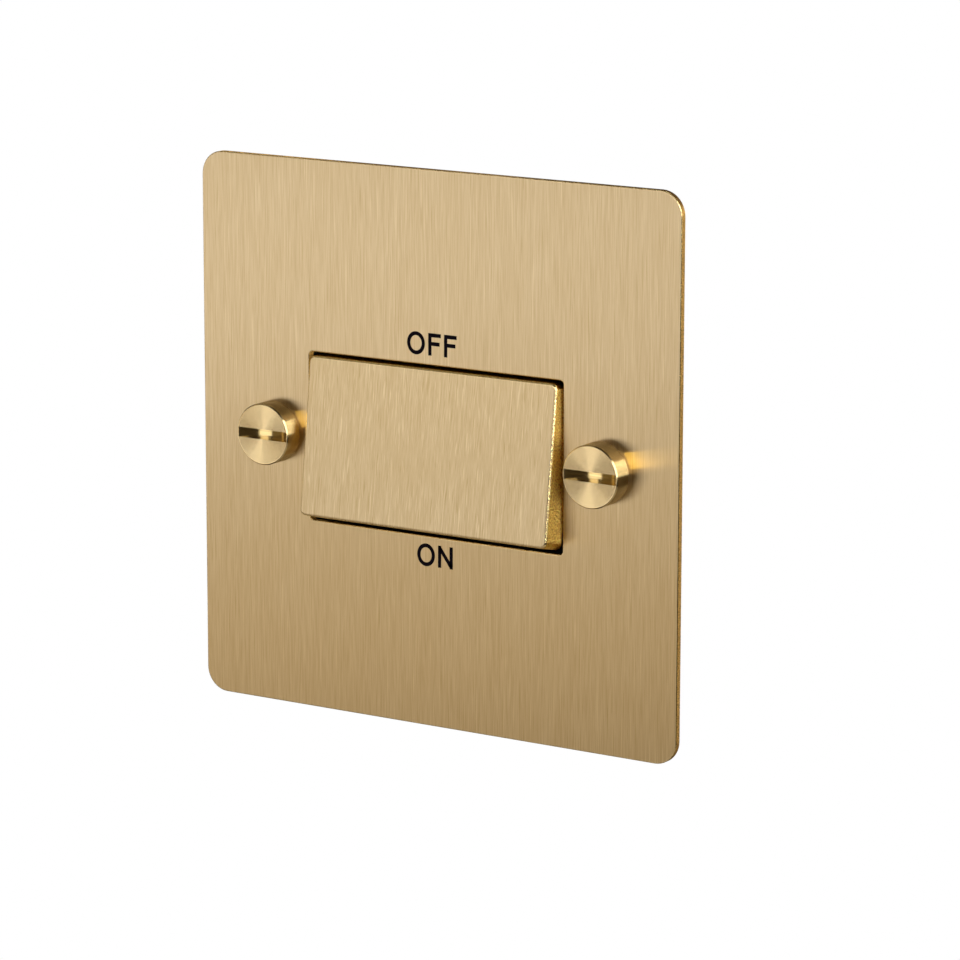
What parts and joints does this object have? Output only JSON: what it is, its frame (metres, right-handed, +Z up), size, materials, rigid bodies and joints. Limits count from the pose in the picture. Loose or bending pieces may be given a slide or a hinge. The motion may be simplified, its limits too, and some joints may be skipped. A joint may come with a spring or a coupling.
{
  "type": "fan isolator switch",
  "caption": "Square brushed brass wall plate with a tilting ON and OFF rocker, coin-slotted fixing screws, and a multi-pole switch module with clamp terminals behind it.",
  "frame": {"origin": "middle of the plate's back face, on the wall", "axes": "+X to the right seen from the room, +Y into the wall, +Z up; the rocker stands at OFF"},
  "size_m": [0.0874, 0.0324, 0.0874],
  "materials": {
    "brushed_brass": "vertically brushed, satin lacquered",
    "rocker_brass": "vertically brushed face, blasted sides",
    "turned_brass": "turned faces with fine concentric tool lines",
    "core_moulding": "moulded, satin black",
    "front_moulding": "moulded, fine spark texture, black",
    "rear_moulding": "moulded, fine spark texture, black",
    "plunger_moulding": "moulded, natural white",
    "terminal_brass": "milled and drilled, bright",
    "contact_copper": "pressed copper strip",
    "contact_silver": "silver alloy rivet face",
    "pin_steel": "ground steel rod",
    "zinc_steel": "zinc plated",
    "screw_steel": "zinc plated, slotted",
    "spring_steel": "drawn wire"
  },
  "bodies": {
    "housing": {"face_plate": "brushed_brass", "coin_screws": "turned_brass", "switch_frame": "front_moulding", "frame_nuts": "zinc_steel", "terminal_base": "rear_moulding", "base_screws": "zinc_steel", "terminal_screws": "screw_steel", "earth_terminal": "terminal_brass", "earth_screw": "screw_steel", "load_terminal_left": "terminal_brass", "load_terminal_middle": "terminal_brass", "load_terminal_right": "terminal_brass", "supply_terminal_left": "terminal_brass", "supply_terminal_middle": "terminal_brass", "supply_terminal_right": "terminal_brass", "fixed_tip_left": "contact_silver", "fixed_tip_middle": "contact_silver", "fixed_tip_right": "contact_silver"},
    "rocker": {"rocker_cap": "rocker_brass", "rocker_core": "core_moulding", "pivot_pin": "pin_steel", "plunger_spring_left": "spring_steel", "plunger_spring_middle": "spring_steel", "plunger_spring_right": "spring_steel"},
    "left_plunger": {"plunger_left": "plunger_moulding"},
    "middle_plunger": {"plunger_middle": "plunger_moulding"},
    "right_plunger": {"plunger_right": "plunger_moulding"},
    "left_contact": {"moving_contact_left": "contact_copper", "moving_tip_left": "contact_silver"},
    "middle_contact": {"moving_contact_middle": "contact_copper", "moving_tip_middle": "contact_silver"},
    "right_contact": {"moving_contact_right": "contact_copper", "moving_tip_right": "contact_silver"}
  },
  "joints": [
    {"name": "rocker_pivot", "type": "hinge", "parent": "housing", "child": "rocker", "pos_m": [0, 0.00075, 0], "axis": [1, 0, 0], "range_deg": [0, 14]},
    {"name": "left_plunger_slide", "type": "slide", "parent": "rocker", "child": "left_plunger", "axis": [0, -0.9925, 0.1219], "range_m": [0, 0.0012], "stiffness_N_per_m": 300, "springref_m": -0.0015, "deforming": ["plunger_spring_left"]},
    {"name": "middle_plunger_slide", "type": "slide", "parent": "rocker", "child": "middle_plunger", "axis": [0, -0.9925, 0.1219], "range_m": [0, 0.0012], "stiffness_N_per_m": 300, "springref_m": -0.0015, "deforming": ["plunger_spring_middle"]},
    {"name": "right_plunger_slide", "type": "slide", "parent": "rocker", "child": "right_plunger", "axis": [0, -0.9925, 0.1219], "range_m": [0, 0.0012], "stiffness_N_per_m": 300, "springref_m": -0.0015, "deforming": ["plunger_spring_right"]},
    {"name": "left_contact_pivot", "type": "hinge", "parent": "housing", "child": "left_contact", "pos_m": [-0.014, 0.0137, 0], "axis": [1, 0, 0], "range_deg": [-20, 0]},
    {"name": "middle_contact_pivot", "type": "hinge", "parent": "housing", "child": "middle_contact", "pos_m": [0, 0.0137, 0], "axis": [1, 0, 0], "range_deg": [-20, 0]},
    {"name": "right_contact_pivot", "type": "hinge", "parent": "housing", "child": "right_contact", "pos_m": [0.014, 0.0137, 0], "axis": [1, 0, 0], "range_deg": [-20, 0]}
  ],
  "couplings": [
    {"joint": "left_contact_pivot", "follows": "rocker_pivot", "ratio": -1.4286},
    {"joint": "middle_contact_pivot", "follows": "rocker_pivot", "ratio": -1.4286},
    {"joint": "right_contact_pivot", "follows": "rocker_pivot", "ratio": -1.4286}
  ]
}
